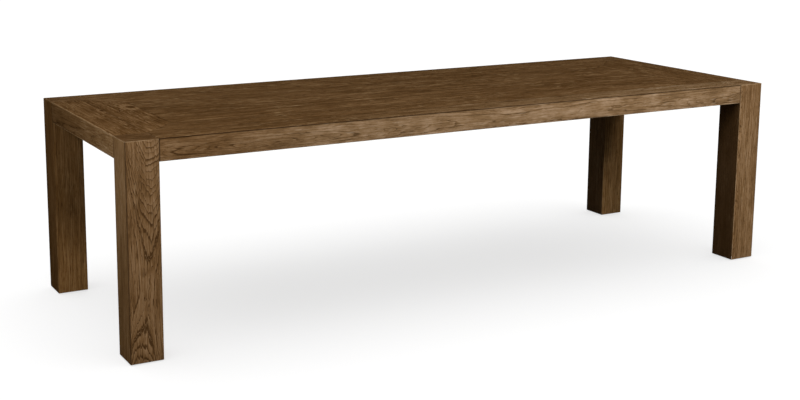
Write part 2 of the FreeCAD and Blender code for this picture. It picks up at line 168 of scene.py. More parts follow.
def local_vector(tree, node, along, outward):
    """Object coordinates from a node's middle: X along the grain, Y across it and Z out of the face."""
    turn = Matrix((along, outward.cross(along), outward))
    inputs = {
        "Vector": add_node(tree, "ShaderNodeTexCoord").outputs["Object"],
        "Location": -(turn @ middle_of(node)),
        "Rotation": turn.to_euler(),
    }
    return add_node(tree, "ShaderNodeMapping", inputs).outputs[0]


def new_material(name):
    material = bpy.data.materials.new(name)
    material.use_nodes = True
    tree = material.node_tree
    tree.nodes.remove(tree.nodes["Principled BSDF"])
    shader = tree.nodes.new("ShaderNodeBsdfPrincipled")
    tree.links.new(shader.outputs[0], tree.nodes["Material Output"].inputs["Surface"])
    return material, tree, shader


def finish_surface(tree, shader, colour, roughness, height, relief, gloss):
    """Give a shader its sockets. Relief is how strongly the height shows and how deep it is."""
    strength, depth = relief
    bump = add_node(tree, "ShaderNodeBump", {"Height": height, "Strength": strength, "Distance": depth})
    tree.links.new(colour, shader.inputs["Base Color"])
    tree.links.new(roughness, shader.inputs["Roughness"])
    tree.links.new(bump.outputs[0], shader.inputs["Normal"])
    shader.inputs["Specular IOR Level"].default_value = gloss


def paint(piece, material):
    piece.data.materials.clear()
    piece.data.materials.append(material)


def paint_laminated(node, along, outward, seed):
    """Laminated timber: staves side by side, each with its own tone, and a dark glue line between."""
    material, tree, shader = new_material(node)
    vector = local_vector(tree, node, along, outward)
    fibre = fibre_marks(tree, vector, seed, pore_share=0.2)
    across = add_node(tree, "ShaderNodeSeparateXYZ", {0: vector}).outputs["Y"]
    stave = calc(tree, "DIVIDE", calc(tree, "ADD", across, STAVE_WIDTH / 2), STAVE_WIDTH)
    tone = chance(tree, calc(tree, "ADD", calc(tree, "FLOOR", stave), seed))
    from_middle = calc(tree, "ABSOLUTE", calc(tree, "SUBTRACT", calc(tree, "FRACT", stave), 0.5))
    glue = smooth_step(tree, from_middle, *GLUE_LIMITS)
    light = calc(tree, "MULTIPLY_ADD", fibre["Streaks"], 0.75, calc(tree, "MULTIPLY", tone, 0.35))
    light = calc(tree, "SUBTRACT", light, 0.15, clamp=True)
    colour = mix_colours(tree, light, CORE_DARK, CORE_PALE)
    colour = mix_colours(tree, calc(tree, "MULTIPLY", fibre["Pores"], 0.5), colour, CORE_DARK)
    colour = mix_colours(tree, glue, colour, GLUE_LINE)
    rough = calc(tree, "MULTIPLY_ADD", fibre["Bands"], 0.2, 0.55)
    height = calc(tree, "SUBTRACT", fibre["Streaks"], fibre["Pores"])
    finish_surface(tree, shader, colour, rough, height, CORE_RELIEF, CORE_GLOSS)
    paint(nodes[node], material)


for number, corner in enumerate(CORNERS):
    paint_laminated(f"{corner}_leg_core", UP, -ALONG_Y, LEG_CORE_SEED + number)

# ---- Leg boards --------------------------------------------------------------------------------
# Four oak boards wrap each core, mitred along the arrises so that no end grain shows. They are
# stained dark, wire brushed along the grain and waxed dull, and glued to the core.

FACINGS = {"front": -ALONG_Y, "right": ALONG_X, "back": ALONG_Y, "left": -ALONG_X}
LEG_WIDTH = 0.118
CUT_SPACING = 0.045
CLOSE_POINTS = 0.00001
FLAT_ANGLE = 1
ARRIS_ANGLE = 20
SMOOTH_ANGLE = 50
ARRIS_ROUNDING = 0.0003
BRUSHED_RELIEF = 0.0003
RELIEF_PEAK = 1.4
# The groove colour is for open pores, and for dust with painted shade in joints; the worn colour is for worn
# arrises and flecks, with painted highlights and glints.
OAK_PORE_AND_SHADE = (0.026, 0.0125, 0.0048)
OAK_DARK = (0.066, 0.0330, 0.0118)
OAK_MIDDLE = (0.148, 0.0800, 0.0325)
OAK_PALE = (0.275, 0.1730, 0.0930)
OAK_WORN_AND_HIGHLIGHT = (0.380, 0.2600, 0.1500)
OAK_STOPS = (0.12, 0.50, 0.95)
OAK_RELIEF = (0.55, 0.0009)
DULL_WAX = 0.0

# Patterns of the oak, in waves a metre.
PITH_WANDER = (1.3, 4, 4)
RING_WAVER = (8, 38, 38)
BREAKS = (7, 190, 190)
BLOTCHES = (3.2, 9, 9)
CLOUDS = (11, 24, 24)
DASHES = (30, 260, 260)
# Painted glints of light, in loose groups, that also stand for the oak's pale ray flecks.
PAINTED_GLINTS = (20, 190, 190)
PAINTED_GLINT_GROUPS = (4, 14, 14)
RUBBED_AND_HIGHLIT_PATCHES = (30, 30, 30)

# How far the pith wanders across and under the board, and how far the fibres break a ring up.
WANDER_ACROSS = 0.025
WANDER_DEEP = 0.020
BREAK_REACH = 0.0034

# A knot is drawn out along the grain. Its marks lie between these shares of its size.
KNOT_STRETCH = 0.55
KNOT_FALL = -0.12
KNOT_PUSH = 2.2
SMALLEST_KNOT = 0.00001
HEART_LIMITS = (0.45, 1.0)
CURL_START = (0.8, 1.2)
CURL_END = (1.5, 3.0)

# A ring's early and late wood lie between these shares of its width.
EARLY_LIMITS = (0.07, 0.24)
LATE_LIMITS = (0.30, 0.95)
RING_DRIFT = 60.0

# How much each mark lightens the wood. A negative weight darkens it.
MIDDLE_LIGHT = 0.54
BREAK_WEIGHT = 1.30
BAND_WEIGHT = 0.55
DASH_WEIGHT = -0.28
BLOTCH_WEIGHT = 0.45
LATE_WEIGHT = 0.10
EARLY_WEIGHT = -0.74
CURL_WEIGHT = 0.9
HEART_WEIGHT = -0.5

# Wear, with the painted highlight and shade along an edge, fades out between these distances from the edge. A
# paler tone, both stain and painted light, is also less red.
WEAR_AND_PAINTED_LIGHT_LIMITS = (0.0012, 0.0042)
TONE_POWERS = (1.2, 1.5)
STAIN_AND_LIGHT_PALING_POWERS = (1.3, 1.8)
WARM_GREEN = -0.3

# What can be set for each board, and its usual value. Sizes are in metres.
BOARD_VALUES = {
    "Seed": 0.0, "Half Length": 0.4, "Half Width": 0.06, "Mitre": 0.0,
    "Pith Across": 0.0, "Pith Drift": 0.0, "Pith Depth": 0.05, "Taper": 0.0, "Bow": 0.0, "Turn": 0.0,
    "Ring Width": 0.0038, "Waviness": 0.006, "Ring Contrast": 1.0,
    "Knot Along": 0.0, "Knot Across": 0.0, "Knot Size": 0.0,
    "Flecks And Glints": 0.25, "Clouds": 0.3, "Grain": 1.0, "Tone": 1.0, "Warmth": 0.0,
    "Pale From": -1.0, "Pale To": 1.0, "Stain And Painted Light Paling": 0.0,
    "Plus Side Wear And Painted Light": 0.5, "Minus Side Wear And Painted Light": 0.5, "End Wear And Painted Light": 0.5,
}

brushed_relief = bpy.data.textures.new("brushed_relief", "CLOUDS")
brushed_relief.noise_scale = 0.06
brushed_relief.noise_depth = 2


def smooth_fall(tree, value, low, high):
    """1 where the value is at low, 0 where it is at high, and an even fall between them."""
    return calc(tree, "SUBTRACT", 1.0, smooth_step(tree, value, low, high))


def swing(tree, value, mask, amount):
    """Let a mask from 0 to 1 move a value both ways, by the amount in all."""
    return calc(tree, "MULTIPLY_ADD", calc(tree, "SUBTRACT", mask, 0.5), amount, value)


def distance(tree, first, second):
    """The straight distance to a point that lies so far one way and so far square to that."""
    squares = [calc(tree, "MULTIPLY", side, side) for side in (first, second)]
    return calc(tree, "SQRT", calc(tree, "ADD", *squares))


def pith_distance(tree, given, place, vector):
    """How far the wood is from the pith, which wanders slowly along the tree."""
    wander = noise(tree, vector, PITH_WANDER, detail=1.0, output="Color")
    wander = add_node(tree, "ShaderNodeSeparateColor", {0: wander}).outputs
    run = calc(tree, "SUBTRACT", place["X"], given["Turn"])
    drift = calc(tree, "MULTIPLY", run, given["Pith Drift"])
    across = calc(tree, "SUBTRACT", place["Y"], given["Pith Across"])
    across = swing(tree, calc(tree, "SUBTRACT", across, drift), wander[0], WANDER_ACROSS)
    bow = calc(tree, "MULTIPLY", given["Bow"], calc(tree, "MULTIPLY", run, run))
    depth = calc(tree, "MULTIPLY_ADD", run, given["Taper"], given["Pith Depth"])
    depth = swing(tree, calc(tree, "SUBTRACT", depth, bow), wander[1], WANDER_DEEP)
    return distance(tree, across, depth)


def knot_marks(tree, given, place):
    """How far a knot pushes the rings out, its dark heart, and the curl of pale wood round it."""
    run = calc(tree, "MULTIPLY", calc(tree, "SUBTRACT", place["X"], given["Knot Along"]), KNOT_STRETCH)
    across = calc(tree, "SUBTRACT", place["Y"], given["Knot Across"])
    size = calc(tree, "ADD", given["Knot Size"], SMALLEST_KNOT)
    share = calc(tree, "DIVIDE", distance(tree, run, across), size)
    fall = calc(tree, "EXPONENT", calc(tree, "MULTIPLY", calc(tree, "MULTIPLY", share, share), KNOT_FALL))
    push = calc(tree, "MULTIPLY", fall, calc(tree, "MULTIPLY", given["Knot Size"], KNOT_PUSH))
    heart = smooth_fall(tree, share, *HEART_LIMITS)
    curl = calc(tree, "MULTIPLY", smooth_step(tree, share, *CURL_START), smooth_fall(tree, share, *CURL_END))
    return push, heart, curl


def ring_marks(tree, given, radius):
    """The open early wood of each ring, stronger in some years, and its dense late wood."""
    drift = add_node(tree, "ShaderNodeTexNoise", {"W": calc(tree, "MULTIPLY", radius, RING_DRIFT)},
                     noise_dimensions="1D").outputs[0]
    phase = calc(tree, "ADD", calc(tree, "DIVIDE", radius, given["Ring Width"]), drift)
    year = chance(tree, calc(tree, "FLOOR", phase))
    share = calc(tree, "FRACT", phase)
    strength = calc(tree, "MULTIPLY_ADD", year, 0.55, 0.45)
    early = calc(tree, "MULTIPLY", smooth_fall(tree, share, *EARLY_LIMITS), strength)
    return early, smooth_step(tree, share, *LATE_LIMITS)


def flecked_and_glinting(tree, given, vector, colour):
    """Pale flecks in loose groups: the oak's ray flecks and bared wood, and painted glints of light on the
    brushed face.
    """
    painted_glints = smooth_step(tree, noise(tree, vector, PAINTED_GLINTS, detail=1.0, roughness=0.4), 0.61, 0.68)
    groups = smooth_step(tree, noise(tree, vector, PAINTED_GLINT_GROUPS, detail=1.0), 0.48, 0.60)
    flecks_and_glints = calc(tree, "MULTIPLY", calc(tree, "MULTIPLY", painted_glints, groups), given["Flecks And Glints"])
    return mix_colours(tree, flecks_and_glints, colour, OAK_WORN_AND_HIGHLIGHT)


def worn_and_painted_light(tree, given, place, vector, colour):
    """Wear pales an arris, with a painted highlight on it, and a negative wear is wax and dust in a joint,
    with painted shade in its groove.
    """
    plus_side = calc(tree, "SUBTRACT", given["Half Width"], place["Y"])
    minus_side = calc(tree, "ADD", given["Half Width"], place["Y"])
    mitred_off = calc(tree, "MULTIPLY", calc(tree, "ABSOLUTE", given["Mitre"]), given["Half Width"])
    slant = calc(tree, "MULTIPLY", given["Mitre"], place["Y"])
    end = calc(tree, "SUBTRACT", given["Half Length"], calc(tree, "ABSOLUTE", place["X"]))
    end = calc(tree, "SUBTRACT", calc(tree, "SUBTRACT", end, mitred_off), slant)
    patches = smooth_step(tree, noise(tree, vector, RUBBED_AND_HIGHLIT_PATCHES), 0.25, 0.7)
    for inward, label in ((plus_side, "Plus Side Wear And Painted Light"), (minus_side, "Minus Side Wear And Painted Light"), (end, "End Wear And Painted Light")):
        wear_and_light = calc(tree, "MULTIPLY", smooth_fall(tree, inward, *WEAR_AND_PAINTED_LIGHT_LIMITS), given[label])
        rubbed_and_highlit = calc(tree, "MULTIPLY", wear_and_light, patches, clamp=True)
        grimed_and_shaded = calc(tree, "MULTIPLY", wear_and_light, -1.0, clamp=True)
        # Paler for wear with a painted highlight, darker for dust with painted shade.
        colour = mix_colours(tree, rubbed_and_highlit, colour, OAK_WORN_AND_HIGHLIGHT)
        colour = mix_colours(tree, grimed_and_shaded, colour, OAK_PORE_AND_SHADE)
    return colour


def tinted(tree, colour, red, green, blue):
    tint = add_node(tree, "ShaderNodeCombineXYZ", {"X": red, "Y": green, "Z": blue}).outputs[0]
    return add_node(tree, "ShaderNodeVectorMath", {0: colour, 1: tint}, operation="MULTIPLY").outputs[0]


def toned(tree, given, place, colour):
    """The stain's depth on the board, partly painted shade and light, the way it pales towards one end,
    partly stain and partly a painted fall of light, and its warmth.
    """
    # The paling along the board is partly stain and partly painted light falling off along it.
    run = smooth_step(tree, place["X"], given["Pale From"], given["Pale To"])
    stain_and_light_paling = calc(tree, "MULTIPLY_ADD", run, given["Stain And Painted Light Paling"], 1.0)
    for share, powers in ((given["Tone"], TONE_POWERS), (stain_and_light_paling, STAIN_AND_LIGHT_PALING_POWERS)):
        green, blue = (calc(tree, "POWER", share, power) for power in powers)
        colour = tinted(tree, colour, share, green, blue)
    green = calc(tree, "MULTIPLY_ADD", given["Warmth"], WARM_GREEN, 1.0)
    return tinted(tree, colour, 1.0, green, calc(tree, "SUBTRACT", 1.0, given["Warmth"]))


def make_oak_group():
    """Brushed oak. The figure is a cut through growth rings: rings round a pith that lies beside and
    under the board give straight lines, loops or arches, by how its distance changes along the board."""
    inputs = [("Vector", "Vector", None)]
    inputs += [(name, "Float", value) for name, value in BOARD_VALUES.items()]
    outputs = [("Color", "Color"), ("Roughness", "Float"), ("Height", "Float")]
    tree, given, result = new_group("brushed_oak", inputs, outputs)
    place = add_node(tree, "ShaderNodeSeparateXYZ", {0: given["Vector"]}).outputs
    vector = moved_on(tree, given["Vector"], given["Seed"])
    fibre = fibre_marks(tree, given["Vector"], given["Seed"], pore_share=0.55)

    # The rings swell round a knot, waver, and break up along the fibres.
    push, heart, curl = knot_marks(tree, given, place)
    breaks = noise(tree, vector, BREAKS, detail=3.0, roughness=0.6)
    radius = calc(tree, "ADD", pith_distance(tree, given, place, vector), push)
    radius = swing(tree, radius, noise(tree, vector, RING_WAVER), given["Waviness"])
    radius = swing(tree, radius, breaks, BREAK_REACH)
    early, late = ring_marks(tree, given, radius)

    # Pale late wood stands proud, and stain gathers in the brushed out early wood and the pores.
    blotches = noise(tree, vector, BLOTCHES, detail=3.0)
    clouds = noise(tree, vector, CLOUDS, detail=3.0, roughness=0.6)
    dashes = smooth_step(tree, noise(tree, vector, DASHES, detail=1.0), 0.57, 0.66)
    grain = swing(tree, 0.0, breaks, BREAK_WEIGHT)
    grain = swing(tree, grain, fibre["Bands"], BAND_WEIGHT)
    grain = calc(tree, "MULTIPLY_ADD", dashes, DASH_WEIGHT, grain)
    streak_weight = calc(tree, "MULTIPLY_ADD", given["Grain"], 0.8, 0.45)
    light = swing(tree, MIDDLE_LIGHT, fibre["Streaks"], streak_weight)
    light = calc(tree, "MULTIPLY_ADD", grain, given["Grain"], light)
    light = swing(tree, light, blotches, BLOTCH_WEIGHT)
    light = swing(tree, light, clouds, given["Clouds"])
    rings = calc(tree, "MULTIPLY_ADD", early, EARLY_WEIGHT, calc(tree, "MULTIPLY", late, LATE_WEIGHT))
    light = calc(tree, "MULTIPLY_ADD", rings, given["Ring Contrast"], light)
    light = calc(tree, "MULTIPLY_ADD", calc(tree, "MULTIPLY", curl, breaks), CURL_WEIGHT, light)
    light = calc(tree, "MULTIPLY_ADD", heart, HEART_WEIGHT, light, clamp=True)

    ramp = add_node(tree, "ShaderNodeValToRGB", {0: light})
    stops = ramp.color_ramp.elements
    dark, middle, pale = OAK_STOPS
    stops[0].position, stops[0].color = dark, (*OAK_DARK, 1)
    stops[1].position, stops[1].color = pale, (*OAK_PALE, 1)
    stops.new(middle).color = (*OAK_MIDDLE, 1)
    open_pores = calc(tree, "MULTIPLY", fibre["Pores"], calc(tree, "MULTIPLY_ADD", early, 0.6, 0.25))
    colour = mix_colours(tree, open_pores, ramp.outputs[0], OAK_PORE_AND_SHADE)
    # Pale flecks, partly painted glints of light.
    colour = flecked_and_glinting(tree, given, vector, colour)
    # Edges paler for wear and painted highlight, joints darker for dust and painted shade.
    colour = worn_and_painted_light(tree, given, place, vector, colour)
    # Tone and paling, partly painted light and shade.
    colour = toned(tree, given, place, colour)
    rough = swing(tree, calc(tree, "MULTIPLY_ADD", early, 0.10, 0.62), blotches, 0.16)
    height = calc(tree, "MULTIPLY_ADD", calc(tree, "SUBTRACT", late, early), 0.35, fibre["Streaks"])
    height = calc(tree, "MULTIPLY_ADD", fibre["Pores"], -0.6, height)
    for label, socket in (("Color", colour), ("Roughness", rough), ("Height", height)):
        tree.links.new(socket, result[label])
    return tree


oak_group = make_oak_group()


def oak_material(name, node, along, outward, figure):
    """Oak for one board, with its own figure and tone."""
    material, tree, shader = new_material(name)
    inputs = {"Vector": local_vector(tree, node, along, outward), **figure}
    oak = add_node(tree, "ShaderNodeGroup", inputs, node_tree=oak_group).outputs
    finish_surface(tree, shader, oak["Color"], oak["Roughness"], oak["Height"], OAK_RELIEF, DULL_WAX)
    return material


def only(piece):
    """Make a piece the one selected object."""
    bpy.ops.object.select_all(action="DESELECT")
    piece.select_set(True)
    bpy.context.view_layer.objects.active = piece


def apply_modifier(piece, name, kind, **settings):
    modifier = piece.modifiers.new(name, kind)
    for key, value in settings.items():
        setattr(modifier, key, value)
    only(piece)
    bpy.ops.object.modifier_apply(modifier=name)


def edit_all():
    """Open the active piece in edit mode, with all of it selected."""
    bpy.ops.object.mode_set(mode="EDIT")
    bpy.ops.mesh.select_all(action="SELECT")


def open_copy(node, name):
    """A copy of a CAD node with its loose triangles merged, left selected in edit mode."""
    piece = bpy.data.objects.new(name, nodes[node].data.copy())
    bpy.context.scene.collection.objects.link(piece)
    only(piece)
    bpy.ops.mesh.customdata_custom_splitnormals_clear()
    edit_all()
    bpy.ops.mesh.remove_doubles(threshold=CLOSE_POINTS)
    return piece


def cut_up(low, high, direction):
    """Bisect the piece in edit mode into even lengths along a direction."""
    length = (high - low).dot(direction)
    count = round(length / CUT_SPACING)
    for number in range(1, count):
        bpy.ops.mesh.select_all(action="SELECT")
        bpy.ops.mesh.bisect(plane_co=low + direction * (length * number / count), plane_no=direction)


def brushed_board(node, along, outward, figure):
    """An oak board over its solid: arrises rounded by the brush, faces left very slightly uneven."""
    low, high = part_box(node)
    across = Vector(abs(part) for part in outward.cross(along))
    piece = open_copy(node, f"{node}_brushed")
    bpy.ops.mesh.dissolve_limited(angle_limit=math.radians(FLAT_ANGLE))
    bpy.ops.mesh.select_all(action="DESELECT")
    bpy.ops.mesh.edges_select_sharp(sharpness=math.radians(ARRIS_ANGLE))
    bpy.ops.mesh.bevel(offset=ARRIS_ROUNDING, segments=2, affect="EDGES")
    cut_up(low, high, along)
    cut_up(low, high, across)
    bpy.ops.object.mode_set(mode="OBJECT")
    apply_modifier(piece, "relief", "DISPLACE", texture=brushed_relief, texture_coords="LOCAL",
                   strength=BRUSHED_RELIEF, mid_level=RELIEF_PEAK)
    bpy.ops.object.shade_smooth_by_angle(angle=math.radians(SMOOTH_ANGLE))

    half = (high - low) / 2
    outline = {"Half Length": half.dot(along), "Half Width": half.dot(across)}
    paint(piece, oak_material(piece.name, node, along, outward, {**figure, **outline}))
    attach(piece, "table")
    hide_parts(node)


timber = random.Random(11)


def plain_sawn(width):
    """Figure of a board cut some way from the pith: mostly straight, with a few long arches."""
    return {
        "Seed": timber.uniform(0, 40),
        "Pith Across": timber.uniform(-0.6, 0.6) * width,
        "Pith Drift": timber.uniform(-0.04, 0.04),
        "Pith Depth": timber.uniform(0.02, 0.07),
        "Taper": timber.uniform(-0.05, 0.05),
        "Bow": timber.uniform(0.0, 0.12),
        "Ring Width": timber.uniform(0.0032, 0.0050),
        "Tone": timber.uniform(0.90, 1.08),
    }


# The legs' arrises are a little paler, for wear with a painted highlight.
LEG_WEAR_AND_HIGHLIGHT = {"Plus Side Wear And Painted Light": 0.15, "Minus Side Wear And Painted Light": 0.15}
# The front left leg's boards pale towards the top as painted light from above, so its left face darkens
# towards the foot as painted shade, and its front left arris is darker on both faces, for dust and painted
# shade.
LEG_FIGURES = {
    "front_left_leg_board_front": {
        "Seed": 4.0, "Pith Across": 0.002, "Pith Drift": -0.06, "Pith Depth": 0.112, "Taper": 0.0,
        "Bow": 0.22, "Turn": -0.12, "Ring Width": 0.0036, "Waviness": 0.008, "Ring Contrast": 1.3,
        "Grain": 0.7, "Tone": 0.78, "Pale From": -0.10, "Pale To": 0.20, "Stain And Painted Light Paling": 0.09,
        "Plus Side Wear And Painted Light": -0.7},
    "front_right_leg_board_front": {
        "Seed": 9.0, "Pith Across": 0.050, "Pith Drift": 0.0, "Pith Depth": 0.026, "Taper": 0.0,
        "Bow": 0.30, "Turn": 0.05, "Ring Width": 0.0036, "Waviness": 0.012, "Ring Contrast": 0.90,
        "Grain": 0.75, "Tone": 1.04, "Plus Side Wear And Painted Light": 0.5},
    "front_left_leg_board_left": {
        "Pith Across": 0.2, "Ring Contrast": 0.3, "Clouds": 0.1, "Grain": 0.5, "Tone": 0.94, "Warmth": 0.12,
        "Pale From": -0.40, "Pale To": 0.30, "Stain And Painted Light Paling": 0.25, "Minus Side Wear And Painted Light": -0.7},
    "back_left_leg_board_left": {
        "Pith Across": 0.2, "Ring Contrast": 0.3, "Grain": 0.6, "Tone": 0.76, "Warmth": 0.25},
    "back_left_leg_board_front": {"Pith Across": -0.15, "Grain": 0.6, "Tone": 0.98, "Warmth": 0.28},
    "back_right_leg_board_front": {"Pith Across": 0.12, "Grain": 0.7, "Tone": 1.32, "Warmth": 0.30},
    "front_right_leg_board_left": {"Pith Across": 0.2, "Ring Contrast": 0.1, "Grain": 0.15, "Tone": 0.66},
    "back_right_leg_board_left": {"Pith Across": 0.2, "Ring Contrast": 0.1, "Grain": 0.4, "Tone": 1.0},
}

for corner in CORNERS:
    for facing, outward in FACINGS.items():
        board = f"{corner}_leg_board_{facing}"
        brushed_board(board, UP, outward, {**plain_sawn(LEG_WIDTH), **LEG_WEAR_AND_HIGHLIGHT, **LEG_FIGURES.get(board, {})})

# ---- Leg caps ----------------------------------------------------------------------------------
# A square of the same oak closes the top of each leg. It is glued down on the core's end, and
# mitred on all four sides to the boards below it.

# The front right cap is paler for a painted grazing highlight.
CAP_TONES_AND_HIGHLIGHT = {"front_left": 0.62, "front_right": 1.15, "back_right": 0.78, "back_left": 0.75}
for corner, tone in CAP_TONES_AND_HIGHLIGHT.items():
    figure = {**plain_sawn(LEG_WIDTH), "Tone": tone, "Ring Contrast": 0.5}
    brushed_board(f"{corner}_leg_cap", ALONG_X, UP, figure)

# ---- Rails -------------------------------------------------------------------------------------
# A core timber rail joins two legs on each side. It is rebated for the panel, and a pocket near
# each end takes the washer and nut of a draw bolt.

RAIL_SEED = 11.0
SIDES = {"front": ALONG_X, "right": ALONG_Y, "back": ALONG_X, "left": ALONG_Y}
for number, (side, along) in enumerate(SIDES.items()):
    paint_laminated(f"{side}_rail", along, FACINGS[side], RAIL_SEED + number)

# ---- Draw bolts --------------------------------------------------------------------------------
# A hanger bolt holds each end of each rail. Its wood thread is turned into the leg's core, and its
# machine thread takes a washer and a nut in the rail's pocket. All are zinc plated steel.

BOLT_RADIUS = 0.0040
BOLT_PITCH = 0.00125
BOLT_TOOTH = 0.00072
BOLT_POINT = 0.009
BOLT_BLUNTNESS = 0.12
WOOD_PITCH = 0.0032
WOOD_TOOTH = 0.0011
WOOD_LENGTH = 0.045
SHANK_END = 0.074
RUN_OUT = 0.0015
WASHER_RADIUS = 0.010
WASHER_BORE = 0.00405
WASHER_EASE = 0.00025
NUT_FLATS = 0.013
NUT_MOUTH = 0.0007
NUT_FACE_SHARE = 0.97
NUT_CHAMFER = 30
CORNER_MARGIN = 0.0005
TOOL_MARGIN = 0.001
TOOTH_CREST = (0.40, 0.60)
CRISP_ANGLE = 40
SEAM = 0.000001
SMALLEST_SOLID = 0.002
ROUND_SIDES = 48
HELIX_SIDES = 24
ZINC = (0.58, 0.57, 0.55)
ZINC_DULL = (0.36, 0.355, 0.34)
ZINC_ROUGH = 0.22
ZINC_CLOUDS = (160, 160, 160)
ZINC_SCRATCHES = (900, 120, 900)
ZINC_RELIEF = (0.15, 0.0001)
ZINC_GLOSS = 0.5


def zinc_material():
    """Bright zinc plate with faint clouding and fine scratches."""
    material, tree, shader = new_material("zinc_plate")
    vector = add_node(tree, "ShaderNodeTexCoord").outputs["Object"]
    clouds = noise(tree, vector, ZINC_CLOUDS, detail=3.0)
    scratches = noise(tree, vector, ZINC_SCRATCHES)
    colour = mix_colours(tree, swing(tree, clouds, scratches, 0.6), ZINC_DULL, ZINC)
    rough = calc(tree, "MULTIPLY_ADD", clouds, 0.2, ZINC_ROUGH)
    finish_surface(tree, shader, colour, rough, scratches, ZINC_RELIEF, ZINC_GLOSS)
    shader.inputs["Metallic"].default_value = 1.0
    return material


zinc = zinc_material()


def zinc_plated(piece):
    paint(piece, zinc)


def drawn_line(name, points):
    """Draw a line through points of radius and height: one corner, extruded from each to the next."""
    bpy.ops.object.select_all(action="DESELECT")
    radius, height = points[0]
    bpy.ops.mesh.primitive_plane_add(size=0.001, location=(radius, 0, height))
    piece = bpy.context.object
    piece.name = name
    bpy.ops.object.mode_set(mode="EDIT")
    bpy.ops.mesh.merge(type="CENTER")
    for next_radius, next_height in points[1:]:
        step = (next_radius - radius, 0, next_height - height)
        bpy.ops.mesh.extrude_vertices_move(TRANSFORM_OT_translate={"value": step})
        radius, height = next_radius, next_height
    bpy.ops.object.mode_set(mode="OBJECT")
    bpy.ops.object.transform_apply()
    return piece


def close_seams(piece):
    """Merge what meets and turn the faces outward."""
    only(piece)
    edit_all()
    bpy.ops.mesh.remove_doubles(threshold=SEAM)
    bpy.ops.mesh.normals_make_consistent(inside=False)
    bpy.ops.object.mode_set(mode="OBJECT")


def turned(name, points, sides=ROUND_SIDES):
    """A piece turned on the lathe round Z, from its outline in points of radius and height."""
    piece = drawn_line(name, points)
    apply_modifier(piece, "lathe", "SCREW", axis="Z", screw_offset=0.0, steps=sides, render_steps=sides)
    close_seams(piece)
    return piece


def draw_in(vertex, share):
    """Bring a point of a mesh in towards the axis."""
    vertex.co.x *= share
    vertex.co.y *= share


def threaded(name, radius, tooth, pitch, low, high):
    """A threaded rod along Z: one tooth swept up a helix, cut square and chamfered at both ends."""
    root = radius - tooth
    start = low - pitch
    crest = [(radius, start + share * pitch) for share in TOOTH_CREST]
    piece = drawn_line(name, [(root, start), *crest, (root, start + pitch)])
    turns = math.ceil((high - low) / pitch) + 2
    apply_modifier(piece, "helix", "SCREW", axis="Z", screw_offset=pitch, iterations=turns,
                   steps=HELIX_SIDES, render_steps=HELIX_SIDES)
    edit_all()
    bpy.ops.mesh.remove_doubles(threshold=SEAM)
    for height, unwanted in ((low, "clear_inner"), (high, "clear_outer")):
        bpy.ops.mesh.select_all(action="SELECT")
        bpy.ops.mesh.bisect(plane_co=(0, 0, height), plane_no=UP, use_fill=True, **{unwanted: True})
    bpy.ops.object.mode_set(mode="OBJECT")
    for vertex in piece.data.vertices:
        reach = math.hypot(vertex.co.x, vertex.co.y)
        limit = root + min(vertex.co.z - low, high - vertex.co.z)
        if reach > limit:
            draw_in(vertex, limit / reach)
    close_seams(piece)
    return piece


def pointed(piece, tip, length, bluntness):
    """Draw one end of a rod out to a point, from a tip's height over a length."""
    for vertex in piece.data.vertices:
        draw_in(vertex, min(1.0, bluntness + abs(vertex.co.z - tip) / length))


def cut(piece, tool, operation="DIFFERENCE"):
    """Cut a piece with a tool, or keep what is in both, and put the tool away."""
    apply_modifier(piece, "cut", "BOOLEAN", operation=operation, object=tool, solver="EXACT")
    bpy.data.objects.remove(tool)
    close_seams(piece)


def hexagon(name, flats, low, high):
    """A six-sided bar along Z with its corners along Y, turned down at both ends."""
    bpy.ops.object.select_all(action="DESELECT")
    corner = flats / math.sqrt(3)
    bpy.ops.mesh.primitive_cylinder_add(vertices=6, radius=corner, depth=high - low,
                                        location=(0, 0, (low + high) / 2))
    piece = bpy.context.object
    piece.name = name
    bpy.ops.object.transform_apply()
    face = flats / 2 * NUT_FACE_SHARE
    waist = corner + CORNER_MARGIN
    fall = (waist - face) * math.tan(math.radians(NUT_CHAMFER))
    outline = [(0, low), (face, low), (waist, low + fall), (waist, high - fall), (face, high), (0, high)]
    cut(piece, turned("chamfers", outline), operation="INTERSECT")
    return piece


def joined(name, *parts):
    """Join parts into the first of them, and leave its sharper edges crisp."""
    bpy.ops.object.select_all(action="DESELECT")
    for part in parts:
        part.select_set(True)
    bpy.context.view_layer.objects.active = parts[0]
    if len(parts) > 1:
        bpy.ops.object.join()
    parts[0].name = name
    bpy.ops.object.shade_smooth_by_angle(angle=math.radians(CRISP_ANGLE))
    return parts[0]


def solids_of(node):
    """The box of each loose solid of a CAD node, as its middle and its size."""
    open_copy(node, "solids")
    bpy.ops.mesh.separate(type="LOOSE")
    bpy.ops.object.mode_set(mode="OBJECT")
    solids = []
    for part in list(bpy.context.selected_objects):
        points = [vertex.co for vertex in part.data.vertices]
        low = Vector(min(point[axis] for point in points) for axis in range(3))
        high = Vector(max(point[axis] for point in points) for axis in range(3))
        if (high - low).length > SMALLEST_SOLID:
            solids.append(((low + high) / 2, high - low))
        bpy.data.objects.remove(part)
    return solids


def set_out(master, node, places, body="table"):
    """Copy a piece to each place, given as a foot, a direction for Z and one for Y, in place of a node."""
    copies = []
    for foot, direction, corner in places:
        copy = bpy.data.objects.new(f"{master.name}_copy", master.data.copy())
        bpy.context.scene.collection.objects.link(copy)
        side = corner.cross(direction)
        turn = Matrix((side, corner, direction)).transposed().to_4x4()
        copy.data.transform(Matrix.Translation(foot) @ turn)
        copies.append(copy)
    piece = joined(f"{node}_detailed", *copies)
    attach(piece, body)
    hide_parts(node)
    return piece


